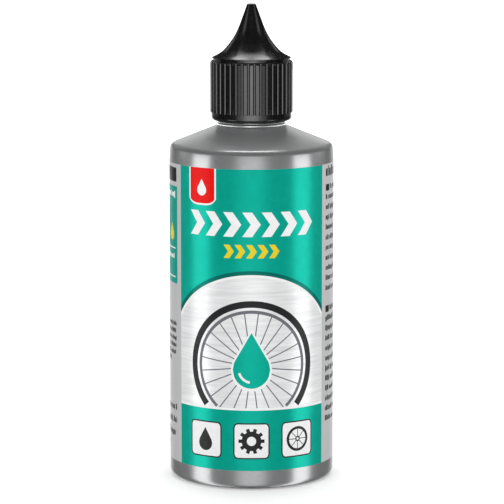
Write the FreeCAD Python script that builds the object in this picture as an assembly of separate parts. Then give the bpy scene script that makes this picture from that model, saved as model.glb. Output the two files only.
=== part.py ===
import FreeCAD, Part
import math
import os

# Driving dimensions in millimetres and degrees. Z is up, the base ring stands on Z = 0,
# and the front of the label faces -Y.

# Bottle body
body_diameter = 42.0
body_wall = 1.0
base_wall = 1.2
heel_radius = 2.0
foot_ring_width = 3.0
base_recess = 1.6
lower_band_height = 5.1
upper_band_height = 4.2
upper_band_taper = 0.25
shoulder_angle = 22.0
shoulder_wall = 1.1
shoulder_edge_radius = 1.7

# Bottle neck
bead_diameter = 17.6
bead_height = 0.82
bead_edge_radius = 0.25
neck_root_radius = 0.5
neck_diameter = 15.6
neck_wall = 1.5
neck_height = 14.2
neck_rim_radius = 0.3

# Wrapped label
label_height = 76.8
label_film = 0.1
label_seam_gap = 1.0

# Dropper insert
flange_thickness = 1.0
flange_inset = 0.1
barrel_depth = 7.0
barrel_wall = 0.8
barrel_relief = 0.2
barrel_fit = 0.03
barrel_lead_in = 0.4
funnel_height = 1.5
seal_bead_height = 0.7
seal_bead_pitch = 2.2
nozzle_height = 9.7
nozzle_tip_diameter = 2.6
nozzle_angle = 8.0
nozzle_root_radius = 1.6
nozzle_tip_radius = 0.3
orifice_diameter = 1.6
orifice_depth = 2.4
nozzle_wall = 0.9

# Cap skirt
cap_gap = 0.3
thread_room = 1.2
skirt_wall = 1.23
rib_height = 0.3
rib_count = 42
groove_width = 0.85
groove_depth = 0.25
cap_band_height = 2.25
cap_edge_radius = 1.0
collar_rise = 0.5
collar_radius = 0.75
notch_height = 0.55
notch_depth = 0.3
lip_height = 0.22
lip_inset = 0.53

# Cap spire
spire_height = 13.6
spire_angle = 20.0
spire_wall = 1.2
spire_tip_diameter = 2.15
spire_tip_radius = 0.4
brim_angle = 30.0
brim_width = 2.7
brim_radius = 2.0
flare_angle = 48.0
flare_radius = 18.0
nozzle_clearance = 0.6
seal_ring_width = 1.0
seal_ring_radius = 6.9
seal_ring_cover = 0.35
pin_diameter = 1.0
pin_reach = 1.0
pin_tip_radius = 0.3

# Radii and heights that follow from the driving dimensions
body_radius = body_diameter / 2
bead_radius = bead_diameter / 2
neck_radius = neck_diameter / 2
neck_bore_radius = neck_radius - neck_wall
band_top_radius = body_radius - upper_band_taper
foot_inner_radius = body_radius - heel_radius - foot_ring_width

shoulder_slope = math.tan(math.radians(shoulder_angle))
label_bottom_z = lower_band_height
label_top_z = label_bottom_z + label_height
shoulder_z = label_top_z + upper_band_height
neck_root_z = shoulder_z + (band_top_radius - bead_radius) * shoulder_slope
bead_top_z = neck_root_z + bead_height
neck_rim_z = bead_top_z + neck_height

flange_top_z = neck_rim_z + flange_thickness
barrel_bottom_z = neck_rim_z - barrel_depth
nozzle_tip_z = flange_top_z + nozzle_height

cap_bottom_z = bead_top_z + cap_gap
cap_bore_radius = neck_radius + thread_room
cap_band_radius = cap_bore_radius + skirt_wall
skirt_radius = cap_band_radius + rib_height
rib_bottom_z = cap_bottom_z + cap_band_height
collar_top_z = flange_top_z + collar_rise
lip_radius = skirt_radius - lip_inset
lip_bottom_z = collar_top_z + notch_height
lip_top_z = lip_bottom_z + lip_height
spire_tip_z = lip_top_z + spire_height
cavity_top_z = nozzle_tip_z + nozzle_clearance

AXIS_POINT = FreeCAD.Vector(0, 0, 0)
UP = FreeCAD.Vector(0, 0, 1)


def point(radius, height):
    return FreeCAD.Vector(radius, 0, height)


def rounded_face(corners):
    """Closed face in the XZ plane from (radius, height, corner radius) triples."""
    edges = []
    ends = []
    count = len(corners)
    for index in range(count):
        before = point(*corners[index - 1][:2])
        here = point(*corners[index][:2])
        after = point(*corners[(index + 1) % count][:2])
        bend = corners[index][2]
        if bend == 0:
            ends.append((here, here, None))
            continue
        back = (before - here).normalize()
        ahead = (after - here).normalize()
        half = back.getAngle(ahead) / 2
        setback = bend / math.tan(half)
        middle = (back + ahead).normalize() * (bend / math.sin(half) - bend)
        ends.append((here + back * setback, here + ahead * setback, here + middle))
    for index in range(count):
        start, stop, crown = ends[index]
        if crown is not None:
            edges.append(Part.Arc(start, crown, stop).toShape())
        following = ends[(index + 1) % count][0]
        edges.append(Part.makeLine(stop, following))
    return Part.Face(Part.Wire(edges))


def turned(corners):
    """Solid of revolution about the Z axis."""
    return rounded_face(corners).revolve(AXIS_POINT, UP, 360)


def make_bottle():
    lift = shoulder_wall / math.cos(math.radians(shoulder_angle))
    inner_radius = body_radius - body_wall
    inner_top_radius = band_top_radius - body_wall
    inner_shoulder_z = shoulder_z - lift + body_wall * shoulder_slope
    entry_z = inner_shoulder_z + (inner_top_radius - neck_bore_radius) * shoulder_slope
    recess_radius = foot_inner_radius - base_recess
    recess_shift = base_wall * math.tan(math.pi / 8)
    inner_heel = heel_radius - body_wall
    outside = turned([
        (0, base_recess, 0),
        (recess_radius, base_recess, 0),
        (foot_inner_radius, 0, 0),
        (body_radius, 0, heel_radius),
        (body_radius, label_top_z, 0),
        (band_top_radius, shoulder_z, shoulder_edge_radius),
        (bead_radius, neck_root_z, neck_root_radius),
        (bead_radius, bead_top_z, bead_edge_radius),
        (neck_radius, bead_top_z, 0),
        (neck_radius, neck_rim_z, neck_rim_radius),
        (0, neck_rim_z, 0),
    ])
    inside = turned([
        (0, base_recess + base_wall, 0),
        (recess_radius + recess_shift, base_recess + base_wall, 0),
        (foot_inner_radius + recess_shift, base_wall, 0),
        (inner_radius - inner_heel, base_wall, 0),
        (inner_radius, base_wall + inner_heel, 0),
        (inner_radius, label_top_z, 0),
        (inner_top_radius, inner_shoulder_z, 0),
        (neck_bore_radius, entry_z, 0),
        (neck_bore_radius, neck_rim_z, 0),
        (0, neck_rim_z, 0),
    ])
    return outside.cut(inside)


def make_label():
    outside = Part.makeCylinder(body_radius + label_film, label_height, point(0, label_bottom_z))
    inside = Part.makeCylinder(body_radius, label_height, point(0, label_bottom_z))
    corner = FreeCAD.Vector(-label_seam_gap / 2, 0, label_bottom_z)
    seam = Part.makeBox(label_seam_gap, body_diameter, label_height, corner)
    return outside.cut(inside).cut(seam)


def make_insert():
    taper = math.tan(math.radians(nozzle_angle))
    flange_radius = neck_radius - flange_inset
    bead_land_radius = neck_bore_radius - barrel_fit
    barrel_radius = neck_bore_radius - barrel_relief
    tip_radius = nozzle_tip_diameter / 2
    root_radius = tip_radius + nozzle_height * taper
    upper_bead_z = neck_rim_z - seal_bead_pitch
    lower_bead_z = upper_bead_z - seal_bead_pitch
    outside = turned([
        (0, barrel_bottom_z, 0),
        (barrel_radius - barrel_lead_in, barrel_bottom_z, 0),
        (barrel_radius, barrel_bottom_z + barrel_lead_in, 0),
        (barrel_radius, lower_bead_z - seal_bead_height, 0),
        (bead_land_radius, lower_bead_z - seal_bead_height / 2, 0),
        (bead_land_radius, lower_bead_z, 0),
        (barrel_radius, lower_bead_z + seal_bead_height / 2, 0),
        (barrel_radius, upper_bead_z - seal_bead_height, 0),
        (bead_land_radius, upper_bead_z - seal_bead_height / 2, 0),
        (bead_land_radius, upper_bead_z, 0),
        (barrel_radius, upper_bead_z + seal_bead_height / 2, 0),
        (barrel_radius, neck_rim_z, 0),
        (flange_radius, neck_rim_z, 0),
        (flange_radius, flange_top_z, 0),
        (root_radius, flange_top_z, nozzle_root_radius),
        (tip_radius, nozzle_tip_z, nozzle_tip_radius),
        (0, nozzle_tip_z, 0),
    ])
    barrel_inner_radius = barrel_radius - barrel_wall
    orifice_radius = orifice_diameter / 2
    throat_z = nozzle_tip_z - orifice_depth
    channel_root_radius = root_radius - nozzle_wall
    inside = turned([
        (0, barrel_bottom_z, 0),
        (barrel_inner_radius, barrel_bottom_z, 0),
        (barrel_inner_radius, neck_rim_z - funnel_height, 0),
        (channel_root_radius, neck_rim_z, 0),
        (orifice_radius, throat_z, 0),
        (orifice_radius, nozzle_tip_z, 0),
        (0, nozzle_tip_z, 0),
    ])
    return outside.cut(inside)


def spire_lines(inset):
    """Brim, flare and spire as (height on the axis, slope) lines, moved in from the outside."""
    brim_rise = brim_width * math.tan(math.radians(brim_angle))
    starts = [
        (lip_radius, lip_top_z, brim_angle),
        (lip_radius - brim_width, lip_top_z + brim_rise, flare_angle),
        (spire_tip_diameter / 2, spire_tip_z, 90 - spire_angle),
    ]
    lines = []
    for radius, height, angle in starts:
        slope = math.tan(math.radians(angle))
        drop = inset / math.cos(math.radians(angle))
        lines.append((height + radius * slope - drop, slope))
    return lines


def crossing(lower, upper):
    """Radius and height at which two lines meet."""
    radius = (upper[0] - lower[0]) / (upper[1] - lower[1])
    return radius, lower[0] - radius * lower[1]


def make_grooves():
    cutter_radius = (groove_width ** 2 / 4 + groove_depth ** 2) / (2 * groove_depth)
    reach = skirt_radius - groove_depth + cutter_radius
    length = lip_top_z - rib_bottom_z
    pitch = 360 / rib_count
    grooves = []
    for index in range(rib_count):
        cutter = Part.makeCylinder(cutter_radius, length, FreeCAD.Vector(0, -reach, rib_bottom_z))
        cutter.rotate(AXIS_POINT, UP, pitch * (index + 0.5))
        grooves.append(cutter)
    return Part.makeCompound(grooves)


def make_cap():
    brim, flare, spire = spire_lines(0)
    outside = turned([
        (0, cap_bottom_z, 0),
        (cap_band_radius, cap_bottom_z, cap_edge_radius),
        (cap_band_radius, rib_bottom_z, 0),
        (skirt_radius, rib_bottom_z, 0),
        (skirt_radius, collar_top_z, collar_radius),
        (lip_radius - notch_depth, collar_top_z, 0),
        (lip_radius - notch_depth, lip_bottom_z, 0),
        (lip_radius, lip_bottom_z, 0),
        (lip_radius, lip_top_z, 0),
        (*crossing(brim, flare), brim_radius),
        (*crossing(flare, spire), flare_radius),
        (spire_tip_diameter / 2, spire_tip_z, spire_tip_radius),
        (0, spire_tip_z, 0),
    ])
    inner_brim, inner_flare, inner_spire = spire_lines(spire_wall)
    bore_top_z = inner_brim[0] - cap_bore_radius * inner_brim[1]
    cavity_top_radius = (inner_spire[0] - cavity_top_z) / inner_spire[1]
    inside = turned([
        (0, cap_bottom_z, 0),
        (cap_bore_radius, cap_bottom_z, 0),
        (cap_bore_radius, bore_top_z, 0),
        (*crossing(inner_brim, inner_flare), brim_radius + spire_wall),
        (*crossing(inner_flare, inner_spire), flare_radius + spire_wall),
        (cavity_top_radius, cavity_top_z, 0),
        (0, cavity_top_z, 0),
    ])
    ring_outer = seal_ring_radius + seal_ring_width / 2
    ring_inner = seal_ring_radius - seal_ring_width / 2
    ring_top_z = brim[0] - ring_outer * brim[1] - seal_ring_cover
    seal_ring = turned([
        (ring_inner, flange_top_z, 0),
        (ring_outer, flange_top_z, 0),
        (ring_outer, ring_top_z, 0),
        (ring_inner, ring_top_z, 0),
    ])
    pin_radius = pin_diameter / 2
    pin = turned([
        (0, nozzle_tip_z - pin_reach, 0),
        (pin_radius, nozzle_tip_z - pin_reach, pin_tip_radius),
        (pin_radius, cavity_top_z + nozzle_clearance, 0),
        (0, cavity_top_z + nozzle_clearance, 0),
    ])
    return outside.cut(inside).fuse([seal_ring, pin]).cut(make_grooves()).removeSplitter()


nodes = {
    "bottle": make_bottle(),
    "wrap_label": make_label(),
    "dropper_insert": make_insert(),
    "spire_cap": make_cap(),
}

os.makedirs("parts", exist_ok=True)
for name, shape in nodes.items():
    shape.exportStep("parts/" + name + ".step")
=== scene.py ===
import math
import random

import bmesh
import bpy
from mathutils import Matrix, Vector


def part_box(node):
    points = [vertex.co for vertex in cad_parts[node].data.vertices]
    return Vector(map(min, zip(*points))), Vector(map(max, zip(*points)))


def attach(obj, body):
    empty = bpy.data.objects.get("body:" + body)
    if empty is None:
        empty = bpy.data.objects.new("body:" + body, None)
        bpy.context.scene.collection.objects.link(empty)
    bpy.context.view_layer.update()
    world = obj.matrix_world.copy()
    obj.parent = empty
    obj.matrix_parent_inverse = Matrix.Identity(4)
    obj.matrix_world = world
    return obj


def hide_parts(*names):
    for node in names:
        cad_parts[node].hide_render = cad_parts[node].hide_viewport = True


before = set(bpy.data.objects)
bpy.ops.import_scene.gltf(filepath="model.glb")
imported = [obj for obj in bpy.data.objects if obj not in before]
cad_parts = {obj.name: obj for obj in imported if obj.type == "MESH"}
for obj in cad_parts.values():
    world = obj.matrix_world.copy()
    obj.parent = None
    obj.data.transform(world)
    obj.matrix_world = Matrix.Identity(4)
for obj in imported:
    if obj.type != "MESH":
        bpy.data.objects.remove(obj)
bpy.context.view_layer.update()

# Lengths below are millimetres and angles degrees, unless a line says otherwise.
MM = 0.001


def reach(node):
    """Radius, lowest level and highest level of a turned CAD node, in millimetres."""
    low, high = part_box(node)
    return round(high.x / MM, 3), round(low.z / MM, 3), round(high.z / MM, 3)


# Sizes read from the frame
body_radius, _, neck_rim_z = reach("bottle")
label_radius, label_bottom_z, label_top_z = reach("wrap_label")
flange_radius, barrel_bottom_z, nozzle_tip_z = reach("dropper_insert")
_, cap_bottom_z, spire_tip_z = reach("spire_cap")

# Fineness of the meshes
outline_tolerance = 0.003
outline_step = 7
cap_outline_step = 5
bottle_steps = 192
insert_steps = 128
thread_steps = 96
film_steps = 264
sharp_angle = 35
slack = 0.01

# Bottle forms
body_wall = 1.0
base_wall = 1.2
heel_radius = 2.0
foot_inner_radius = 16.0
foot_edge_radius = 0.5
base_recess = 1.6
recess_edge_radius = 0.6
band_height = 4.2
band_taper = 0.25
band_top_radius = body_radius - band_taper
shoulder_z = label_top_z + band_height
shoulder_angle = 22.0
shoulder_wall = 1.1
shoulder_edge_radius = 1.7
neck_radius = 7.8
neck_bore_radius = 6.3
neck_rim_radius = 0.3
mouth_edge_radius = 0.15
neck_entry_radius = 0.8
inner_shoulder_radius = 0.6
inner_heel_radius = 0.8
inner_recess_radius = 0.4

# Neck bead with a thin ring over it
bead_radius = 8.8
bead_undercut = 0.3
bead_height = 0.36
bead_rise = 0.02
bead_draft = 0.04
bead_edge_radius = 0.07
bead_hold = 0.1
ring_gap = 0.36
ring_gap_depth = 0.95
ring_height = 0.16
ring_edge_radius = 0.03

# Mould marks on the bottle
seam_height = 0.035
seam_half_angle = 0.55
seam_shares = (-1.4, -1, -0.5, 0.5, 1, 1.4)
seam_start_z = 0.6
pinch_height = 0.12

# Dropper insert forms
flange_thickness = 1.0
flange_edge_radius = 0.2
barrel_radius = 6.1
barrel_wall = 0.8
barrel_edge_radius = 0.1
barrel_lead_radius = 0.35
barrel_bead_radius = 6.27
barrel_bead_height = 0.7
barrel_bead_pitch = 2.2
barrel_bead_edge_radius = 0.1
funnel_depth = 1.5
funnel_edge_radius = 0.3
nozzle_root_radius = 2.66
nozzle_fillet_radius = 1.6
nozzle_tip_radius = 1.3
nozzle_tip_edge_radius = 0.22
nozzle_wall = 0.9
orifice_radius = 0.8
orifice_depth = 2.4
orifice_edge_radius = 0.12

# Cap forms
cap_bore_radius = 9.0
cap_bore_edge_radius = 0.2
cap_edge_lift = 0.2
cap_edge_z = cap_bottom_z + cap_edge_lift
cap_edge_radius = 0.8
cap_band_radius = 10.23
cap_band_height = 2.25
skirt_radius = 10.53
rib_count = 42
rib_bottom_z = cap_bottom_z + cap_band_height
rib_bottom_radius = 0.1
rib_edge = 0.03
groove_width = 0.76
groove_depth = 0.28
groove_shares = (0, 0.3, 0.55, 0.75, 0.89, 0.97, 1.03, 1.15)
collar_rise = 0.5
collar_top_z = neck_rim_z + flange_thickness + collar_rise
collar_radius = 0.75
notch_height = 0.55
notch_depth = 0.3
notch_floor_radius = 0.05
notch_roof_radius = 0.08
lip_radius = 10.0
lip_height = 0.22
lip_lower_edge_radius = 0.06
lip_upper_edge_radius = 0.08
lip_bottom_z = collar_top_z + notch_height
lip_top_z = lip_bottom_z + lip_height
notch_radius = lip_radius - notch_depth
brim_width = 2.7
brim_angle = 30.0
brim_bend = 5.0
brim_bend_radius = 10.0
brim_radius = 6.0
flare_angle = 48.0
flare_radius = 18.0
spire_angle = 20.0
spire_wall = 1.2
spire_tip_radius = 1.075
spire_tip_edge_radius = 0.4
nozzle_clearance = 0.6
cavity_top_z = nozzle_tip_z + nozzle_clearance
cavity_edge_radius = 0.2
roof_edge_radius = 0.3
seal_ring_radii = (6.4, 7.4)
seal_ring_cover = 0.35
seal_ring_edge_radius = 0.2
pin_radius = 0.5
pin_depth = 1.0
pin_bottom_z = nozzle_tip_z - pin_depth
pin_edge_radius = 0.3

# Screw thread: half widths at root and crest, and flank as shares of the height and the crest's half width
thread_pitch = 3.18
thread_turns = 1.6
thread_sink = 0.1
thread_fade_share = 0.125
thread_end_share = 0.04
thread_flank = ((0.8, 1.15), (1, 0.7))
neck_thread_start = 3.4
neck_thread_z = cap_bottom_z + neck_thread_start
neck_thread_crest = 8.65
neck_thread_halves = (0.85, 0.4)
cap_thread_z = neck_thread_z + thread_pitch / 2
cap_thread_crest = 8.15
cap_thread_halves = (0.75, 0.35)

# Label film and ink
label_height = label_top_z - label_bottom_z
film_inset = 0.055
film_radius = label_radius - film_inset
seam_gap = 1.0
ink_step = 0.01
weld_distance = 0.002
strip_width = 0.5
fine_strip = 0.25
finest_strip = 0.15
arc_width = 0.3
arc_steps = 16
corner_steps = 4


# Mesh helpers

def around(radius, angle, level):
    """A point at an angle round the bottle's axis, from the front towards +X, in metres."""
    return Vector((radius * math.sin(angle), -radius * math.cos(angle), level)) * MM


def rounded_outline(corners, arc_step=outline_step):
    """Closed outline of (radius, level) points from (radius, level, rounding) corners."""
    points = []
    for index, (radius, level, rounding) in enumerate(corners):
        here = Vector((radius, level))
        if rounding == 0:
            points.append(here)
            continue
        back = (Vector(corners[index - 1][:2]) - here).normalized()
        ahead = (Vector(corners[(index + 1) % len(corners)][:2]) - here).normalized()
        half = back.angle(ahead) / 2
        centre = here + (back + ahead).normalized() * (rounding / math.sin(half))
        start = here + back * (rounding / math.tan(half)) - centre
        stop = here + ahead * (rounding / math.tan(half)) - centre
        first = math.atan2(start.y, start.x)
        sweep = math.remainder(math.atan2(stop.y, stop.x) - first, math.tau)
        facet = max(math.radians(arc_step), 2 * math.acos(1 - min(1, outline_tolerance / rounding)))
        count = max(2, math.ceil(abs(sweep) / facet))
        for step in range(count + 1):
            turn = first + sweep * step / count
            points.append(centre + rounding * Vector((math.cos(turn), math.sin(turn))))
    return points


def even_angles(count):
    return [math.tau * index / count for index in range(count)]


def finished(name, bm, material, body):
    """Turns a bmesh into a smooth-shaded object that rides on a body."""
    bmesh.ops.recalc_face_normals(bm, faces=bm.faces)
    mesh = bpy.data.meshes.new(name)
    bm.to_mesh(mesh)
    bm.free()
    mesh.polygons.foreach_set("use_smooth", [True] * len(mesh.polygons))
    mesh.set_sharp_from_angle(angle=math.radians(sharp_angle))
    mesh.materials.append(material)
    piece = bpy.data.objects.new(name, mesh)
    bpy.context.scene.collection.objects.link(piece)
    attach(piece, body)
    return piece


def lathe(outline, angles, relief=None, radial=False):
    """Closed outline turned about the axis. relief pushes each point along its normal or radius."""
    bm = bmesh.new()
    rings = []
    for index, point in enumerate(outline):
        if point.x < slack:
            rings.append([bm.verts.new((0, 0, point.y * MM))])
            continue
        along = outline[(index + 1) % len(outline)] - outline[index - 1]
        normal = Vector((1, 0)) if radial else Vector((along.y, -along.x)).normalized()
        ring = []
        for angle in angles:
            push = relief(angle, point) if relief else 0
            place = around(point.x + normal.x * push, angle, point.y + normal.y * push)
            ring.append(bm.verts.new(place))
        rings.append(ring)
    for ring, above in zip(rings, rings[1:] + rings[:1]):
        steps = max(len(ring), len(above))
        if steps == 1:
            continue
        for index in range(steps):
            corners = [ring[index % len(ring)], ring[(index + 1) % len(ring)],
                       above[(index + 1) % len(above)], above[index % len(above)]]
            bm.faces.new(list(dict.fromkeys(corners)))
    return bm


def screw_ridge(root, crest, level, half_root, half_crest):
    """Helical thread ridge that fades in and out at its ends."""
    bm = bmesh.new()
    steps = int(thread_turns * thread_steps)
    fade = int(steps * thread_fade_share)
    sink = math.copysign(thread_sink, crest - root)
    sections = []
    for step in range(steps + 1):
        angle = math.tau * thread_turns * step / steps
        rise = level + thread_pitch * angle / math.tau
        grown = math.sin(min(1, step / fade, (steps - step) / fade) * math.pi / 2)
        height = (crest - root) * (thread_end_share + (1 - thread_end_share) * grown)
        flank = [(root - sink, half_root), (root, half_root)]
        flank += [(root + height * tall, half_crest * wide) for tall, wide in thread_flank]
        shape = [(radius, -half) for radius, half in flank] + flank[::-1]
        sections.append([bm.verts.new(around(radius, angle, rise + up)) for radius, up in shape])
    for one, two in zip(sections, sections[1:]):
        for index in range(len(one)):
            after = (index + 1) % len(one)
            bm.faces.new((one[index], one[after], two[after], two[index]))
    bm.faces.new(sections[0])
    bm.faces.new(sections[-1])
    return bm


# Materials
noise_low = 0.3
noise_high = 0.7
ink_spread = 0.04


def new_material(name):
    """A node material and its principled shader."""
    material = bpy.data.materials.new(name)
    material.use_nodes = True
    return material, material.node_tree.nodes["Principled BSDF"]


def add_node(tree, kind, **settings):
    node = tree.nodes.new(kind)
    for key, value in settings.items():
        setattr(node, key, value)
    return node


def map_range(tree, source, result):
    node = add_node(tree, "ShaderNodeMapRange")
    node.inputs["From Min"].default_value, node.inputs["From Max"].default_value = source
    node.inputs["To Min"].default_value, node.inputs["To Max"].default_value = result
    return node


def noise(material, scale, detail=3.0, stretch=None, turn=0.0):
    """Noise in object coordinates, stretched and turned where asked."""
    tree = material.node_tree
    source = add_node(tree, "ShaderNodeTexCoord").outputs["Object"]
    if stretch:
        mapping = add_node(tree, "ShaderNodeMapping")
        mapping.inputs["Scale"].default_value = stretch
        mapping.inputs["Rotation"].default_value = (0, math.radians(turn), 0)
        tree.links.new(source, mapping.inputs["Vector"])
        source = mapping.outputs["Vector"]
    texture = add_node(tree, "ShaderNodeTexNoise")
    texture.inputs["Scale"].default_value = scale
    texture.inputs["Detail"].default_value = detail
    tree.links.new(source, texture.inputs["Vector"])
    return texture.outputs["Fac"]


def vary_colour(material, shader, factor, dark, light):
    """Base colour between two tones, driven by a noise."""
    tree = material.node_tree
    ramp = add_node(tree, "ShaderNodeValToRGB")
    ramp.color_ramp.elements[0].position = noise_low
    ramp.color_ramp.elements[0].color = (*dark, 1)
    ramp.color_ramp.elements[1].position = noise_high
    ramp.color_ramp.elements[1].color = (*light, 1)
    tree.links.new(factor, ramp.inputs["Fac"])
    tree.links.new(ramp.outputs["Color"], shader.inputs["Base Color"])


def vary_roughness(material, shader, factor, low, high):
    """Roughness between two levels, driven by a noise."""
    tree = material.node_tree
    spread = map_range(tree, (noise_low, noise_high), (low, high))
    tree.links.new(factor, spread.inputs["Value"])
    tree.links.new(spread.outputs["Result"], shader.inputs["Roughness"])


def add_bump(material, shader, factor, depth, strength):
    """Fine surface relief: depth in metres."""
    tree = material.node_tree
    bump = add_node(tree, "ShaderNodeBump")
    bump.inputs["Strength"].default_value = strength
    bump.inputs["Distance"].default_value = depth
    tree.links.new(factor, bump.inputs["Height"])
    tree.links.new(bump.outputs["Normal"], shader.inputs["Normal"])


def toned(colour, factor):
    return tuple(channel * factor for channel in colour)


def grey_plastic():
    """Blow-moulded plastic with fine metallic flake."""
    material, shader = new_material("metallic_grey_plastic")
    shader.inputs["Metallic"].default_value = 0.72
    shader.inputs["Specular IOR Level"].default_value = 0.45
    flake = noise(material, scale=2600, detail=1)
    vary_colour(material, shader, flake, dark=(0.43, 0.435, 0.44), light=(0.47, 0.475, 0.48))
    vary_roughness(material, shader, noise(material, scale=300, detail=2), low=0.285, high=0.315)
    return material


def black_plastic():
    """Moulded black plastic with a fine spark-eroded texture."""
    material, shader = new_material("black_moulded_plastic")
    shader.inputs["Specular IOR Level"].default_value = 0.9
    tone = noise(material, scale=1500)
    vary_colour(material, shader, tone, dark=(0.004, 0.004, 0.0043), light=(0.0065, 0.0065, 0.0068))
    vary_roughness(material, shader, noise(material, scale=400, detail=2), low=0.18, high=0.25)
    add_bump(material, shader, noise(material, scale=3200, detail=2), depth=0.000006, strength=0.25)
    return material


def natural_plastic():
    """Milky unpigmented soft plastic."""
    material, shader = new_material("natural_soft_plastic")
    shader.inputs["Subsurface Weight"].default_value = 0.35
    shader.inputs["Subsurface Scale"].default_value = 0.0015
    shader.inputs["Subsurface Radius"].default_value = (1.0, 0.95, 0.85)
    tone = noise(material, scale=300)
    vary_colour(material, shader, tone, dark=(0.74, 0.76, 0.73), light=(0.82, 0.83, 0.80))
    vary_roughness(material, shader, noise(material, scale=400, detail=2), low=0.34, high=0.46)
    return material


def ink(name, colour, metallic=0.0, roughness=0.3):
    """Printed ink under a clear film, with the slight unevenness of a press."""
    material, shader = new_material(name)
    shader.inputs["Metallic"].default_value = metallic
    shader.inputs["Specular IOR Level"].default_value = 0.14
    tone = noise(material, scale=700, detail=5)
    vary_colour(material, shader, tone, toned(colour, 1 - ink_spread), toned(colour, 1 + ink_spread))
    gloss = noise(material, scale=350, detail=2)
    vary_roughness(material, shader, gloss, roughness - ink_spread, roughness + ink_spread)
    return material


def silver_film(name, dark, light, stretch, turn=0.0):
    """Silvered label film with drawn streaks."""
    material, shader = new_material(name)
    shader.inputs["Metallic"].default_value = 0.2
    shader.inputs["Specular IOR Level"].default_value = 0.2
    streaks = noise(material, scale=60, detail=6, stretch=stretch, turn=turn)
    vary_colour(material, shader, streaks, dark, light)
    vary_roughness(material, shader, noise(material, scale=300, detail=2), low=0.34, high=0.42)
    return material


GREY = grey_plastic()
BLACK = black_plastic()
NATURAL = natural_plastic()
TEAL = ink("teal_ink", (0.0, 0.46, 0.345), metallic=0.36, roughness=0.36)
DEEP_TEAL = ink("deep_teal_ink", (0.0, 0.19, 0.15), metallic=0.4, roughness=0.4)
SLATE = ink("slate_ink", (0.16, 0.17, 0.19))
RED = ink("red_ink", (0.84, 0.003, 0.002))
WHITE = ink("white_ink", (0.93, 0.93, 0.93))
YELLOW = ink("yellow_ink", (0.85, 0.66, 0.02))
DARK = ink("dark_ink", (0.02, 0.021, 0.022))
FILM = silver_film("silver_label_film", dark=(0.60, 0.605, 0.61), light=(0.67, 0.675, 0.68),
                   stretch=(1, 1, 0.05))
BRUSHED = silver_film("brushed_silver_field", dark=(0.80, 0.805, 0.81), light=(0.98, 0.985, 0.99),
                      stretch=(1.5, 1.5, 24), turn=38)


# Bottle

def seam_relief(angle, point):
    """Mould parting line on both sides, and the pinched weld across the base."""
    side = abs(abs(math.remainder(angle, math.tau)) - math.pi / 2)
    width = math.radians(seam_half_angle)
    if side >= width or point.y < seam_start_z:
        return 0
    on_base = point.y <= base_recess + slack and point.x < foot_inner_radius
    return (pinch_height if on_base else seam_height) * (1 - side / width)


def build_bottle():
    slope = math.tan(math.radians(shoulder_angle))
    lift = shoulder_wall / math.cos(math.radians(shoulder_angle))
    root_radius = bead_radius - bead_undercut
    neck_root_z = shoulder_z + (band_top_radius - root_radius) * slope
    bead_bottom_z = neck_root_z + bead_rise
    bead_top_z = bead_bottom_z + bead_height
    ring_bottom_z = bead_top_z + ring_gap
    ring_top_z = ring_bottom_z + ring_height
    recess_radius = foot_inner_radius - base_recess
    inner_radius = body_radius - body_wall
    inner_top_radius = band_top_radius - body_wall
    inner_shoulder_z = shoulder_z - lift + body_wall * slope
    entry_z = inner_shoulder_z + (inner_top_radius - neck_bore_radius) * slope
    outline = rounded_outline([
        (0, base_recess, 0),
        (recess_radius / 2, base_recess, 0),
        (recess_radius, base_recess, recess_edge_radius),
        (foot_inner_radius, 0, foot_edge_radius),
        (body_radius, 0, heel_radius),
        (body_radius, label_bottom_z, 0),
        (body_radius, label_top_z, 0),
        (band_top_radius, shoulder_z, shoulder_edge_radius),
        (root_radius, neck_root_z, 0),
        (neck_radius, neck_root_z, 0),
        (neck_radius, neck_rim_z, neck_rim_radius),
        (neck_bore_radius, neck_rim_z, mouth_edge_radius),
        (neck_bore_radius, entry_z, neck_entry_radius),
        (inner_top_radius, inner_shoulder_z, inner_shoulder_radius),
        (inner_radius, label_top_z, 0),
        (inner_radius, base_wall, inner_heel_radius),
        (foot_inner_radius, base_wall, inner_recess_radius),
        (recess_radius, base_recess + base_wall, inner_recess_radius),
        (0, base_recess + base_wall, 0),
    ])
    angles = set(even_angles(bottle_steps))
    for side in (math.pi / 2, math.pi * 3 / 2):
        for share in seam_shares:
            angles.add(side + math.radians(seam_half_angle) * share)
    angles = sorted(angles)
    shell = lathe(outline, angles, seam_relief)
    bottle = finished("bottle_shell", shell, GREY, "bottle")
    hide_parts("bottle")
    bead = rounded_outline([
        (neck_radius - bead_hold, neck_root_z - bead_hold, 0),
        (root_radius, neck_root_z - bead_hold, 0),
        (bead_radius - bead_draft, bead_bottom_z, bead_edge_radius),
        (bead_radius, bead_top_z, bead_edge_radius),
        (bead_radius - ring_gap_depth, bead_top_z + ring_gap / 2, 0),
        (bead_radius - bead_draft, ring_bottom_z, ring_edge_radius),
        (bead_radius, ring_top_z, bead_edge_radius),
        (neck_radius - bead_hold, ring_top_z, 0),
    ])
    finished("neck_bead", lathe(bead, angles, seam_relief), GREY, "bottle")
    ridge = screw_ridge(neck_radius, neck_thread_crest, neck_thread_z, *neck_thread_halves)
    finished("neck_thread", ridge, GREY, "bottle")


# Dropper insert

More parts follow.
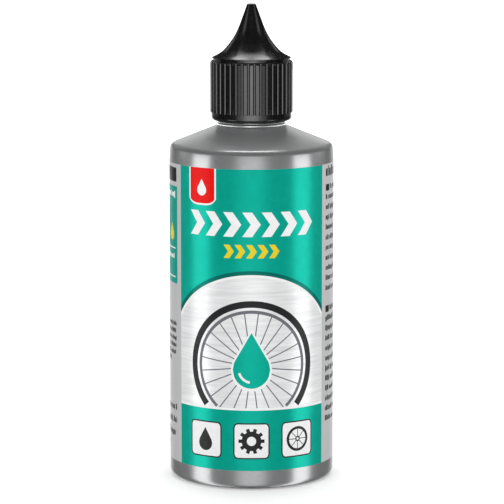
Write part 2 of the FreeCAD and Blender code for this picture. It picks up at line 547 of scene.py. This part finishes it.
def build_insert():
    flange_top_z = neck_rim_z + flange_thickness
    upper = neck_rim_z - barrel_bead_pitch
    half = barrel_bead_height / 2
    beads = []
    for level in (upper - barrel_bead_pitch, upper):
        beads += [(barrel_radius, level - barrel_bead_height, 0),
                  (barrel_bead_radius, level - half, barrel_bead_edge_radius),
                  (barrel_bead_radius, level, barrel_bead_edge_radius),
                  (barrel_radius, level + half, 0)]
    bore_radius = barrel_radius - barrel_wall
    outline = rounded_outline([
        (bore_radius, barrel_bottom_z, barrel_edge_radius),
        (barrel_radius, barrel_bottom_z, barrel_lead_radius),
        *beads,
        (barrel_radius, neck_rim_z, 0),
        (flange_radius, neck_rim_z, 0),
        (flange_radius, flange_top_z, flange_edge_radius),
        (nozzle_root_radius, flange_top_z, nozzle_fillet_radius),
        (nozzle_tip_radius, nozzle_tip_z, nozzle_tip_edge_radius),
        (orifice_radius, nozzle_tip_z, orifice_edge_radius),
        (orifice_radius, nozzle_tip_z - orifice_depth, 0),
        (nozzle_root_radius - nozzle_wall, neck_rim_z, 0),
        (bore_radius, neck_rim_z - funnel_depth, funnel_edge_radius),
    ])
    shell = lathe(outline, even_angles(insert_steps))
    insert = finished("dropper_nozzle", shell, NATURAL, "bottle")
    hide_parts("dropper_insert")


# Cap

def spire_lines(inset):
    """Brim, flare and spire as (height on the axis, slope) lines, moved in from the outside."""
    brim_rise = brim_width * math.tan(math.radians(brim_angle))
    starts = ((lip_radius, lip_top_z, brim_angle),
              (lip_radius - brim_width, lip_top_z + brim_rise, flare_angle),
              (spire_tip_radius, spire_tip_z, 90 - spire_angle))
    lines = []
    for radius, height, angle in starts:
        slope = math.tan(math.radians(angle))
        drop = inset / math.cos(math.radians(angle))
        lines.append((height + radius * slope - drop, slope))
    return lines


def crossing(lower, upper):
    """Radius and height at which two lines meet."""
    radius = (upper[0] - lower[0]) / (upper[1] - lower[1])
    return radius, lower[0] - radius * lower[1]


def groove_relief(angle, point):
    """Round-bottomed grooves between the ribs, with softly rounded edges."""
    if point.x < cap_band_radius + slack:
        return 0
    pitch = math.tau / rib_count
    offset = abs(math.remainder(angle - pitch / 2, pitch))
    cutter = (groove_width ** 2 / 4 + groove_depth ** 2) / (2 * groove_depth)
    centre = skirt_radius - groove_depth + cutter
    across = centre * math.sin(offset)
    if across >= cutter:
        return 0
    floor = centre * math.cos(offset) - math.sqrt(cutter ** 2 - across ** 2)
    blend = min(1, max(0, 0.5 + 0.5 * (floor - point.x) / rib_edge))
    level = floor + (point.x - floor) * blend - rib_edge * blend * (1 - blend)
    return min(0, level - point.x)


def rib_angles():
    """Angles round the cap, close together where the grooves' walls are steep."""
    pitch = math.tau / rib_count
    half = groove_width / 2 / skirt_radius
    angles = set()
    for index in range(rib_count):
        centre = pitch * (index + 0.5)
        angles.add(centre + pitch / 2)
        for share in groove_shares:
            angles.add(centre + half * share)
            angles.add(centre - half * share)
    return sorted(angles)


def build_cap():
    brim, flare, spire = spire_lines(0)
    inner_brim, inner_flare, inner_spire = spire_lines(spire_wall)
    bend_rise = brim_width / 2 * math.tan(math.radians(brim_angle - brim_bend))
    outline = rounded_outline([
        (cap_bore_radius, cap_edge_z, cap_bore_edge_radius),
        (cap_band_radius, cap_edge_z, cap_edge_radius),
        (cap_band_radius, rib_bottom_z, 0),
        (skirt_radius, rib_bottom_z, rib_bottom_radius),
        (skirt_radius, collar_top_z, collar_radius),
        (notch_radius, collar_top_z, notch_floor_radius),
        (notch_radius, lip_bottom_z, notch_roof_radius),
        (lip_radius, lip_bottom_z, lip_lower_edge_radius),
        (lip_radius, lip_top_z, lip_upper_edge_radius),
        (lip_radius - brim_width / 2, lip_top_z + bend_rise, brim_bend_radius),
        (*crossing(brim, flare), brim_radius),
        (*crossing(flare, spire), flare_radius),
        (spire_tip_radius, spire_tip_z, spire_tip_edge_radius),
        (0, spire_tip_z, 0),
        (0, pin_bottom_z, 0),
        (pin_radius, pin_bottom_z, pin_edge_radius),
        (pin_radius, cavity_top_z, 0),
        ((inner_spire[0] - cavity_top_z) / inner_spire[1], cavity_top_z, cavity_edge_radius),
        (*crossing(inner_flare, inner_spire), flare_radius + spire_wall),
        (*crossing(inner_brim, inner_flare), brim_radius + spire_wall),
        (cap_bore_radius, inner_brim[0] - cap_bore_radius * inner_brim[1], roof_edge_radius),
    ], arc_step=cap_outline_step)
    shell = lathe(outline, rib_angles(), groove_relief, radial=True)
    cap = finished("spire_cap_shell", shell, BLACK, "cap")
    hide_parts("spire_cap")
    ring_low, ring_high = seal_ring_radii
    flange_top_z = neck_rim_z + flange_thickness
    ring_top_z = brim[0] - ring_high * brim[1] - seal_ring_cover
    ring = rounded_outline([
        (ring_low, flange_top_z, seal_ring_edge_radius),
        (ring_high, flange_top_z, seal_ring_edge_radius),
        (ring_high, ring_top_z, 0),
        (ring_low, ring_top_z, 0),
    ])
    finished("cap_seal_ring", lathe(ring, even_angles(insert_steps)), BLACK, "cap")
    ridge = screw_ridge(cap_bore_radius, cap_thread_crest, cap_thread_z, *cap_thread_halves)
    finished("cap_thread", ridge, BLACK, "cap")


# Label print, in millimetres along the label from its front centre and up from its lower edge

def label_point(along, up, radius):
    return around(radius, along / label_radius, label_bottom_z + up)


def strips(low, high, lower, upper, width=strip_width):
    """Upright strips of the label between two curves, as quads of (along, up) points."""
    count = max(1, math.ceil((high - low) / width))
    edges = [low + (high - low) * index / count for index in range(count + 1)]
    return [[(a, lower(a)), (b, lower(b)), (b, upper(b)), (a, upper(a))]
            for a, b in zip(edges, edges[1:])]


def panel(low, high, bottom, top, corner=0.0):
    """Rectangle with rounded corners."""
    def cut(along):
        edge = min(along - low, high - along)
        if edge >= corner:
            return 0
        return corner - math.sqrt(max(0, corner ** 2 - (corner - edge) ** 2))
    width = min(strip_width, corner / corner_steps) if corner else strip_width
    return strips(low, high, lambda s: bottom + cut(s), lambda s: top - cut(s), width)


def ring(along, up, inner, outer, first=0.0, last=360.0):
    """Ring, or a part of one, as quads."""
    turns = max(arc_steps, math.ceil(math.radians(last - first) * outer / arc_width))
    bands = max(1, math.ceil((outer - inner) / strip_width))

    def place(band, turn):
        radius = inner + (outer - inner) * band / bands
        angle = math.radians(first + (last - first) * turn / turns)
        return along + radius * math.cos(angle), up + radius * math.sin(angle)
    return [[place(b, t), place(b + 1, t), place(b + 1, t + 1), place(b, t + 1)]
            for b in range(bands) for t in range(turns)]


def stroke(start, stop, width):
    """Straight bar between two points."""
    run = stop - start
    side = Vector((-run.y, run.x)).normalized() * width / 2
    count = max(1, math.ceil(run.length / strip_width))
    marks = [start + run * index / count for index in range(count + 1)]
    return [[tuple(a - side), tuple(b - side), tuple(b + side), tuple(a + side)]
            for a, b in zip(marks, marks[1:])]


def spokes(along, up, count, inner, outer, width, shift=0.0, floor=-math.inf):
    """Straight bars outwards from a centre, cut off at a floor level."""
    centre = Vector((along, up))
    quads = []
    for index in range(count):
        turn = math.tau * (index + shift) / count
        outward = Vector((math.cos(turn), math.sin(turn)))
        end = outer if outward.y * outer >= floor - up else (floor - up) / outward.y
        quads += stroke(centre + outward * inner, centre + outward * end, width)
    return quads


def drop(along, up, radius, point=2, steps=16):
    """Oil drop: a round belly under a straight-sided point, whose tip is some radii up."""
    lean = math.asin(1 / point)
    touch = radius * math.cos(lean)

    def upper(s):
        side = abs(s - along)
        if side <= touch:
            return up + radius * point - side / math.tan(lean)
        return up + math.sqrt(max(0, radius ** 2 - side ** 2))

    def lower(s):
        return up - math.sqrt(max(0, radius ** 2 - (s - along) ** 2))
    return strips(along - radius, along + radius, lower, upper, radius / steps)


# Small print: letters in a word, forms and spaces as shares of the letter height, and a last line's length
word_lengths = (2, 9)
letter_widths = (0.25, 0.5, 0.55, 0.6, 0.8)
letter_drops = (0, 0, 0, 0, 0, 0, 0.3)
letter_rises = (1, 1, 1, 1, 1.35, 1.35)
letter_space = 0.17
word_space = 0.45
last_line_shares = (0.4, 0.9)


def paragraph(low, high, top, lines, size, seed):
    """Small print as rows of words, with one plain block in place of each letter."""
    height, pitch = size
    draw = random.Random(seed)
    quads = []
    for line in range(lines):
        base = top - height - line * pitch
        stop = low + (high - low) * (draw.uniform(*last_line_shares) if line == lines - 1 else 1)
        along = low
        while along < stop - height:
            for _ in range(draw.randint(*word_lengths)):
                width = height * draw.choice(letter_widths)
                if along + width > stop:
                    break
                bottom = base - height * draw.choice(letter_drops)
                rise = base + height * draw.choice(letter_rises)
                quads += strips(along, along + width, lambda s: bottom, lambda s: rise, 2 * strip_width)
                along += width + height * letter_space
            along += height * word_space
    return quads


def printed(name, layer, material, quads):
    """One ink layer on the film, as a thin closed piece."""
    bm = bmesh.new()
    for quad in quads:
        bm.faces.new([bm.verts.new((*point, 0)) for point in quad])
    bmesh.ops.remove_doubles(bm, verts=bm.verts, dist=weld_distance)
    bmesh.ops.dissolve_degenerate(bm, edges=bm.edges, dist=weld_distance)
    grown = bmesh.ops.extrude_face_region(bm, geom=bm.faces[:])
    raised = {item for item in grown["geom"] if isinstance(item, bmesh.types.BMVert)}
    for vert in bm.verts:
        radius = film_radius + ink_step * layer if vert in raised else film_radius - ink_step
        vert.co = label_point(vert.co.x, vert.co.y, radius)
    return finished(name, bm, material, "bottle")


def build_film():
    bm = bmesh.new()
    half = math.pi * label_radius - seam_gap / 2
    rows = []
    for radius, up in ((body_radius, 0), (film_radius, 0),
                       (film_radius, label_height), (body_radius, label_height)):
        rows.append([bm.verts.new(label_point(-half + 2 * half * index / film_steps, up, radius))
                     for index in range(film_steps + 1)])
    for row, after in zip(rows, rows[1:] + rows[:1]):
        for index in range(film_steps):
            bm.faces.new((row[index], row[index + 1], after[index + 1], after[index]))
    for index in (0, film_steps):
        bm.faces.new([row[index] for row in rows])
    film = finished("label_film", bm, FILM, "bottle")
    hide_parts("wrap_label")


# Front design: an arch of brushed silver under a teal sky, with a wheel that rises behind the lower band
panel_half_width = 21.4
edge_trim = 0.02
arch_radius = 25.5
arch_up = 24.0
arch_line_radius = arch_radius + 0.7
arch_edge_radius = arch_radius + 1.7
sky_radius = arch_radius + 1.6
field_overlap = 0.5
band_top = 15.6
band_line = 0.6
chevron_slant = 0.7

# Wheel and drop in the arch
wheel_up = 27.0
wheel_radius = 16.6
tyre_width = 1.7
rim_inner_inset = 3.2
rim_outer_inset = 2.4
spoke_count = 24
spoke_inset = 3.0
spoke_width = 0.28
hub_radius = 2.0
drop_up = wheel_up - 1.0
drop_radius = 4.75
drop_border_up = wheel_up - 1.2
drop_border_radius = 5.3
shine_radii = (2.9, 3.5)
shine_angles = (195, 262)

# Tab at the upper edge
tab_left = -17.6
tab_right = -9.2
tab_middle = (tab_left + tab_right) / 2
tab_half = (tab_right - tab_left) / 2
tab_bottom = label_height - 9.4
tab_curve = 1.6
tab_curve_power = 4
tab_border = 0.45
tab_drop_up = label_height - 5.6
tab_drop_radius = 1.4

# Pictogram squares in the lower band
icon_size = 8.6
icon_pitch = 12.4
icon_up = 7.7
icon_corner = 0.9
icon_border = 0.35
icon_border_corner = 1.2
icon_drop_up = icon_up - 1.0
icon_drop_radius = 2.0
icon_cog_radius = 3.3
icon_cog_teeth = 10
cog_hole_share = 0.36
cog_body_share = 0.76
cog_root_share = 0.7
cog_tooth_share = 0.27
icon_tyre_radii = (2.5, 3.2)
icon_hub_radii = (0.35, 0.7)
icon_spoke_count = 8
icon_spoke_radii = (0.68, 2.52)
icon_spoke_width = 0.18


def arch(along, radius=arch_radius):
    return arch_up + math.sqrt(radius ** 2 - along ** 2)


def chevron(along, bottom, height, width):
    """Arrow-shaped bar that points to the right."""
    half = height / 2
    lean = half * chevron_slant
    low = along - (width + lean) / 2
    high = low + width + lean
    middle = bottom + half

    def inner(s):
        return half * max(0, 1 - (s - low) / lean)

    def outer(s):
        return half * min(1, (high - s) / lean)
    return (strips(low, high, lambda s: middle - outer(s), lambda s: middle - inner(s), finest_strip)
            + strips(low, high, lambda s: middle + inner(s), lambda s: middle + outer(s), finest_strip))


def chevron_row(count, pitch, bottom, height, width):
    """Row of chevrons about the middle of the front."""
    quads = []
    for index in range(count):
        quads += chevron((index - count // 2) * pitch, bottom, height, width)
    return quads


def build_front_print():
    """Colour fields, pinstripes and speed bars of the front."""
    half = panel_half_width
    field = strips(-half, half, lambda s: band_top, lambda s: arch(s) + field_overlap)
    printed("print_silver_field", 1, BRUSHED, field)
    sky = strips(-half, half, lambda s: arch(s, sky_radius), lambda s: label_height - edge_trim)
    printed("print_teal_field", 1, TEAL, sky + panel(-half, half, edge_trim, band_top))
    edge = strips(-half, half, lambda s: arch(s, arch_line_radius), lambda s: arch(s, arch_edge_radius))
    printed("print_deep_arch", 2, DEEP_TEAL, edge)
    lines = strips(-half, half, arch, lambda s: arch(s, arch_line_radius))
    lines += panel(-half, half, band_top, band_top + band_line)
    lines += chevron_row(count=7, pitch=4.9, bottom=59.8, height=6.2, width=2.5)
    printed("print_white_lines", 2, WHITE, lines)
    arrows = chevron_row(count=5, pitch=2.9, bottom=54.4, height=3.4, width=1.5)
    printed("print_yellow_arrows", 2, YELLOW, arrows)


def build_tab_print():
    """Red tab that hangs from the upper edge, with a pale border and a drop on it."""
    def sag(along):
        return tab_curve * ((along - tab_middle) / tab_half) ** tab_curve_power

    def edge(inset):
        return strips(tab_left + inset, tab_right - inset,
                      lambda s: tab_bottom + inset + sag(s), lambda s: label_height - edge_trim, fine_strip)
    printed("print_tab_border", 2, WHITE, edge(0))
    printed("print_tab", 3, RED, edge(tab_border))
    printed("print_tab_drop", 4, WHITE, drop(tab_middle, tab_drop_up, tab_drop_radius))


def build_wheel_print():
    """A spoked wheel, cut off by the lower band, with an oil drop over its hub."""
    floor = band_top + band_line

    def rim(inner, outer):
        cut = math.degrees(math.asin((wheel_up - floor) / outer))
        return ring(0, wheel_up, inner, outer, -cut, 180 + cut)
    printed("print_wheel_tyre", 2, DARK, rim(wheel_radius - tyre_width, wheel_radius))
    lines = rim(wheel_radius - rim_inner_inset, wheel_radius - rim_outer_inset)
    lines += spokes(0, wheel_up, spoke_count, hub_radius, wheel_radius - spoke_inset, spoke_width,
                    shift=0.5, floor=floor)
    printed("print_wheel_lines", 2, SLATE, lines)
    printed("print_drop_border", 3, WHITE, drop(0, drop_border_up, drop_border_radius))
    printed("print_drop", 4, TEAL, drop(0, drop_up, drop_radius))
    printed("print_drop_shine", 5, WHITE, ring(0, drop_up, *shine_radii, *shine_angles))


def cog(along, up, radius, teeth):
    """Toothed wheel with a round hole."""
    body = ring(along, up, radius * cog_hole_share, radius * cog_body_share)
    return body + spokes(along, up, teeth, radius * cog_root_share, radius, radius * cog_tooth_share)


def build_icon_print():
    """Three pictogram squares in the lower band: drop, cog and wheel."""
    half = icon_size / 2
    borders, squares, marks = [], [], []
    for place in (-icon_pitch, 0, icon_pitch):
        left, right, lower, upper = place - half, place + half, icon_up - half, icon_up + half
        borders += panel(left - icon_border, right + icon_border, lower - icon_border, upper + icon_border,
                         icon_border_corner)
        squares += panel(left, right, lower, upper, icon_corner)
    marks += drop(-icon_pitch, icon_drop_up, icon_drop_radius)
    marks += cog(0, icon_up, icon_cog_radius, icon_cog_teeth)
    marks += ring(icon_pitch, icon_up, *icon_tyre_radii) + ring(icon_pitch, icon_up, *icon_hub_radii)
    marks += spokes(icon_pitch, icon_up, icon_spoke_count, *icon_spoke_radii, icon_spoke_width)
    printed("print_icon_borders", 2, DARK, borders)
    printed("print_icon_squares", 3, WHITE, squares)
    printed("print_icon_marks", 4, DARK, marks)


# Sides and back: text sizes as (letter height, line pitch), text blocks as (lines, upper level)
title_text = (1.9, 3.0)
side_text = (1.0, 2.6)
fine_text = (0.8, 1.85)
foot_text = (1.15, 3.3)
panel_text = (1.1, 2.7)
panel_fine_text = (0.9, 2.2)
side_margin = 2.0
side_inset = 0.4
side_corner = 0.3
title_width = 15.0
title_up = 75.6
column_width = 19.0
back_column = (21.4, 39.6)
tag_width = 2.3
tag_height = 1.7
tag_corner = 0.25
tag_text_start = 2.9
tag_text_drop = 0.3
tag_block_drop = 2.8
right_blocks = ((11, 71.6), (12, 40.4))
back_right_blocks = ((15, 73.6), (13, 44.4), (8, 18.8))
back_left_blocks = ((17, 73.6), (20, 40.4))
note_lines, note_up = 6, 36.0
foot_lines, foot_up, foot_width = 4, 14.4, 13.0
heading_width = 9.0
heading_levels = (72.2, 75.8)
side_panel_width = 19.4
side_panel_levels = (46.1, 71.0)
panel_text_lines = 2
panel_text_up = 69.4
panel_fine_text_up = 53.4
rule_start = 1.2
rule_end = 18.2
rule_height = 0.3
rule_levels = (55.0, 47.6)
side_drop_count = 3
side_drop_start = 3.6
side_drop_pitch = 5.2
side_drop_up = 58.6
side_drop_radius = 1.5


def build_side_print():
    """Small print and a colour panel on the silver sides and back."""
    right = panel_half_width + side_margin
    left = -right
    near, far = back_column
    end = right + column_width
    tags = []
    small = paragraph(right, right + title_width, title_up, 1, title_text, seed=9)
    for index, (lines, level) in enumerate(right_blocks):
        tags += panel(right, right + tag_width, level - tag_height, level, tag_corner)
        first = right + tag_text_start
        small += paragraph(first, end, level - tag_text_drop, 1, side_text, seed=40 + index)
        small += paragraph(right, end, level - tag_block_drop, lines - 1, side_text, seed=10 + index)
    for index, (lines, level) in enumerate(back_right_blocks):
        small += paragraph(right + near, right + far, level, lines, fine_text, seed=20 + index)
    small += paragraph(left - foot_width, left, foot_up, foot_lines, foot_text, seed=32)
    small += paragraph(left - column_width, left - side_inset, note_up, note_lines, fine_text, seed=31)
    for index, (lines, level) in enumerate(back_left_blocks):
        small += paragraph(left - far, left - near, level, lines, fine_text, seed=33 + index)
    tags += panel(left - heading_width, left - side_inset, *heading_levels, side_corner)
    printed("print_small_lines", 1, DARK, small)
    printed("print_small_tags", 1, DARK, tags)
    side_panel = panel(left - side_panel_width, left, *side_panel_levels, side_corner)
    printed("print_side_panel", 1, TEAL, side_panel)
    first, last = left - rule_end, left - rule_start
    rules = []
    for level in rule_levels:
        rules += panel(first, last, level, level + rule_height)
    rules += paragraph(first, last, panel_text_up, panel_text_lines, panel_text, seed=35)
    rules += paragraph(first, last, panel_fine_text_up, panel_text_lines, panel_fine_text, seed=36)
    printed("print_side_rules", 2, WHITE, rules)
    marks = []
    for index in range(side_drop_count):
        marks += drop(left - side_drop_start - index * side_drop_pitch, side_drop_up, side_drop_radius)
    printed("print_side_marks", 2, YELLOW, marks)


# Stage: pale floor, studio light and the camera. Lengths on the stage are metres.
floor_half = 3.0
floor_colour = (0.86, 0.86, 0.86, 1)
# Floor glow near and far from the object, and the distances between: the low glow near it is painted shade
painted_shade_reach = (0.02, 0.35)
floor_glow = (0.24, 0.6)
world_colour = (1, 1, 1, 1)
world_light = 0.95
world_seen = 1.0
panel_steps = 12
lamp_watts_per_area = 4
camera_place = Vector((0.13, -742.5, 170.1)) * MM
camera_tilt = 8.587
camera_lens = 208.45
camera_sensor = 36


def paths_seen(tree):
    """Output that is 1 for camera, glossy and transmission rays."""
    path = add_node(tree, "ShaderNodeLightPath")
    shine = add_node(tree, "ShaderNodeMath", operation="MAXIMUM")
    tree.links.new(path.outputs["Is Glossy Ray"], shine.inputs[0])
    tree.links.new(path.outputs["Is Transmission Ray"], shine.inputs[1])
    seen = add_node(tree, "ShaderNodeMath", operation="MAXIMUM")
    tree.links.new(path.outputs["Is Camera Ray"], seen.inputs[0])
    tree.links.new(shine.outputs[0], seen.inputs[1])
    return seen.outputs[0]


def stage_material(name):
    """Empty node material and its output."""
    material = bpy.data.materials.new(name)
    material.use_nodes = True
    material.node_tree.nodes.clear()
    return material, add_node(material.node_tree, "ShaderNodeOutputMaterial")


def stage_piece(name, verts, faces, material):
    mesh = bpy.data.meshes.new(name)
    mesh.from_pydata(verts, [], faces)
    mesh.materials.append(material)
    piece = bpy.data.objects.new(name, mesh)
    bpy.context.scene.collection.objects.link(piece)
    return piece


def build_floor():
    """Pale floor whose glow is low near the object and higher away from it: a painted shade round the
    object.
    """
    material, out = stage_material("pale_floor")
    tree = material.node_tree
    paint = add_node(tree, "ShaderNodeBsdfDiffuse")
    paint.inputs["Color"].default_value = floor_colour
    glow = add_node(tree, "ShaderNodeEmission")
    place = add_node(tree, "ShaderNodeTexCoord")
    away = add_node(tree, "ShaderNodeVectorMath", operation="LENGTH")
    tree.links.new(place.outputs["Object"], away.inputs[0])
    # Glow rises with distance from the object, so the floor near it carries a painted shade
    spread = map_range(tree, painted_shade_reach, floor_glow)
    tree.links.new(away.outputs["Value"], spread.inputs["Value"])
    level = add_node(tree, "ShaderNodeMath", operation="MULTIPLY")
    tree.links.new(paths_seen(tree), level.inputs[0])
    tree.links.new(spread.outputs["Result"], level.inputs[1])
    tree.links.new(level.outputs[0], glow.inputs["Strength"])
    both = add_node(tree, "ShaderNodeAddShader")
    tree.links.new(paint.outputs[0], both.inputs[0])
    tree.links.new(glow.outputs[0], both.inputs[1])
    tree.links.new(both.outputs[0], out.inputs["Surface"])
    corners = [(floor_half * x, floor_half * y, 0) for x, y in ((-1, -1), (1, -1), (1, 1), (-1, 1))]
    floor = stage_piece("floor", corners, [(0, 1, 2, 3)], material)
    floor.visible_glossy = False


def build_world():
    world = bpy.data.worlds.new("studio")
    world.use_nodes = True
    bpy.context.scene.world = world
    tree = world.node_tree
    back = tree.nodes["Background"]
    back.inputs["Color"].default_value = world_colour
    level = map_range(tree, (0, 1), (world_light, world_seen))
    tree.links.new(paths_seen(tree), level.inputs["Value"])
    tree.links.new(level.outputs["Result"], back.inputs["Strength"])


def dome(radius, height):
    """Places on a dome about the axis. Azimuth 0 is the camera's side, 90 the right."""
    def place(azimuth, elevation):
        turn, rise = math.radians(azimuth), math.radians(elevation)
        level = radius * math.cos(rise)
        return level * math.sin(turn), -level * math.cos(turn), radius * math.sin(rise) + height
    return place


def wall(radius):
    """Places on an upright round wall about the axis, by azimuth and height."""
    def place(azimuth, height):
        turn = math.radians(azimuth)
        return radius * math.sin(turn), -radius * math.cos(turn), height
    return place


def vault(radius, height):
    """Places on a barrel vault across the object, by distance across and angle up from the back."""
    def place(across, rise):
        turn = math.radians(rise)
        return across, radius * math.cos(turn), radius * math.sin(turn) + height
    return place


TENT = dome(0.9, 0.06)
BRIM_VAULT = vault(0.045, lip_top_z * MM)
BODY_WALL = wall(0.032)
SPIRE_WALL = wall(0.026)
LAMP_RING = dome(0.6, 0.09)

# Lamps for the cap's front as (width, level), and lamps round the bead as (azimuth, elevation, level)
CAP_FRONT_LAMPS = ((0.485, 0.75), (0.78, 0.65), (1.16, 0.3))
BEAD_LAMPS = ((-140, -15, 2.6), (-80, -12, 3.2), (0, -10, 2.8), (80, -12, 3.2), (140, -15, 2.6))

# Panels over the brim as (lower angle, upper angle, half width, level)
BRIM_PANELS = (
    (52, 66, 0.0155, 4.3),
    (66, 69, 0.0155, 3.8),
    (69, 72, 0.0155, 3.2),
    (72, 78, 0.018, 2.5),
    (78, 84, 0.021, 2.0),
    (84, 90, 0.025, 1.5),
    (90, 96, 0.028, 0.8),
    (96, 102, 0.028, 0.25),
)

# Other panels as (name, place, azimuths, elevations or heights, level). The side ones have a mirrored twin.
FRONT_PANELS = (
    ("front_panel_high", TENT, (-15, 15), (-8, 6), 1.5),
    ("front_panel_middle", TENT, (-15, 15), (-11, -8), 1.3),
    ("front_panel_low", TENT, (-15, 15), (-58, -11), 1.05),
)
SIDE_PANELS = (
    ("cap_flag", BODY_WALL, (37, 96), (0.0875, 0.112), 0.03),
    ("cap_side_flag", BODY_WALL, (96, 130), (0.0902, 0.112), 0.25),
    ("band_side_flag", BODY_WALL, (96, 130), (0.0875, 0.0902), 0.03),
    ("front_flag", TENT, (20, 58), (-58, 7), 0.15),
    ("strip", BODY_WALL, (41.5, 62), (-0.12, 0.0855), 2.3),
    ("side_flag", TENT, (58, 98), (-58, 7), 0.08),
    ("side_panel", TENT, (60, 82), (7, 42), 0.8),
    ("side_top_flag", TENT, (60, 82), (42, 72), 0.04),
    ("side_upper_flag", TENT, (82, 120), (7, 72), 0.04),
    ("rear_flag", TENT, (98, 150), (-58, 0), 0.12),
    ("rear_upper_flag", TENT, (120, 150), (0, 18), 0.04),
)
REAR_PANELS = (
    ("spire_flag", SPIRE_WALL, (138, 222), (0.1035, 0.122), 0.03),
    ("spire_upper_flag", SPIRE_WALL, (100, 260), (0.122, 0.137), 0.03),
    ("upper_flag", TENT, (-60, 60), (7, 72), 0.02),
    ("top_flag", TENT, (0, 360), (72, 89.9), 0.04),
    ("rear_top_flag", TENT, (120, 240), (58, 72), 0.05),
    ("rear_canopy_18", TENT, (120, 240), (18, 26), 0.8),
    ("rear_canopy_26", TENT, (120, 240), (26, 34), 0.5),
    ("rear_canopy_34", TENT, (120, 240), (34, 42), 0.35),
    ("rear_canopy_42", TENT, (120, 240), (42, 58), 0.25),
    ("ground_flag", TENT, (0, 360), (-89, -59), 0.04),
)


def add_panel(name, place, spans, rises, level):
    """Curved studio panel that only reflections see."""
    material, out = stage_material(name + "_cloth")
    glow = add_node(material.node_tree, "ShaderNodeEmission")
    glow.inputs["Strength"].default_value = level
    material.node_tree.links.new(glow.outputs[0], out.inputs["Surface"])
    material.cycles.emission_sampling = "NONE"
    verts, faces = [], []
    for row in range(panel_steps + 1):
        rise = rises[0] + (rises[1] - rises[0]) * row / panel_steps
        for column in range(panel_steps + 1):
            verts.append(place(spans[0] + (spans[1] - spans[0]) * column / panel_steps, rise))
    for row in range(panel_steps):
        for column in range(panel_steps):
            first = row * (panel_steps + 1) + column
            faces.append((first, first + 1, first + panel_steps + 2, first + panel_steps + 1))
    piece = stage_piece(name, verts, faces, material)
    piece.visible_camera = False
    piece.visible_diffuse = False
    piece.visible_shadow = False
    piece.visible_transmission = False


def add_lamp(name, place, target, size, level):
    """Soft lamp that lights surfaces and isn't seen in them."""
    data = bpy.data.lights.new(name, "AREA")
    data.shape = "RECTANGLE"
    data.size, data.size_y = size
    data.energy = level * lamp_watts_per_area * size[0] * size[1]
    lamp = bpy.data.objects.new(name, data)
    lamp.location = place
    lamp.rotation_euler = (Vector(target) - lamp.location).to_track_quat("-Z", "Y").to_euler()
    lamp.visible_glossy = False
    bpy.context.scene.collection.objects.link(lamp)
    return lamp


def add_highlight(name, place, target, size, level, piece):
    """Soft lamp that shows only as a reflection in one piece."""
    lamp = add_lamp(name, place, target, size, level)
    lamp.visible_glossy = True
    lamp.visible_diffuse = False
    lamp.visible_camera = False
    lamp.data.use_shadow = False
    group = bpy.data.collections.new(name + "_pieces")
    group.objects.link(bpy.data.objects[piece])
    lamp.light_linking.receiver_collection = group


def build_studio():
    add_lamp("top_softbox", place=(0, 0.23, 0.71), target=(0, 0, 0.1), size=(0.44, 0.2), level=3.7)
    for width, level in CAP_FRONT_LAMPS:
        add_highlight(f"cap_front_{width}", place=(0, -0.6, -0.05), target=(0, 0, -0.05),
                      size=(width, 0.54), level=level, piece="spire_cap_shell")
    add_highlight("collar_light", place=(0, -0.577, 0.272), target=(0, 0, 0.107),
                  size=(0.42, 0.16), level=2.2, piece="spire_cap_shell")
    add_highlight("edge_light", place=(0, 0.0725, 0.69), target=(0, 0.0725, 0),
                  size=(0.4, 0.045), level=10.0, piece="bottle_shell")
    for azimuth, rise, level in BEAD_LAMPS:
        add_highlight(f"bead_light_{azimuth}", LAMP_RING(azimuth, rise), target=(0, 0, 0.09),
                      size=(0.7, 0.2), level=level, piece="neck_bead")
    for low, high, half, level in BRIM_PANELS:
        add_panel(f"brim_panel_{low}", BRIM_VAULT, (-half, half), (low, high), level)
    for studio_panel in FRONT_PANELS:
        add_panel(*studio_panel)
    for side, side_name in ((-1, "left"), (1, "right")):
        for name, place, (near, far), rises, level in SIDE_PANELS:
            add_panel(f"{side_name}_{name}", place, (near * side, far * side), rises, level)
    for studio_panel in REAR_PANELS:
        add_panel(*studio_panel)


def build_camera():
    data = bpy.data.cameras.new("camera")
    data.lens = camera_lens
    data.sensor_width = camera_sensor
    camera = bpy.data.objects.new("camera", data)
    camera.location = camera_place
    camera.rotation_euler = (math.radians(90 - camera_tilt), 0, 0)
    bpy.context.scene.collection.objects.link(camera)
    bpy.context.scene.camera = camera


build_bottle()
build_insert()
build_cap()
build_film()
build_front_print()
build_tab_print()
build_wheel_print()
build_icon_print()
build_side_print()
build_floor()
build_world()
build_studio()
build_camera()
bpy.context.scene.view_settings.view_transform = "Standard"
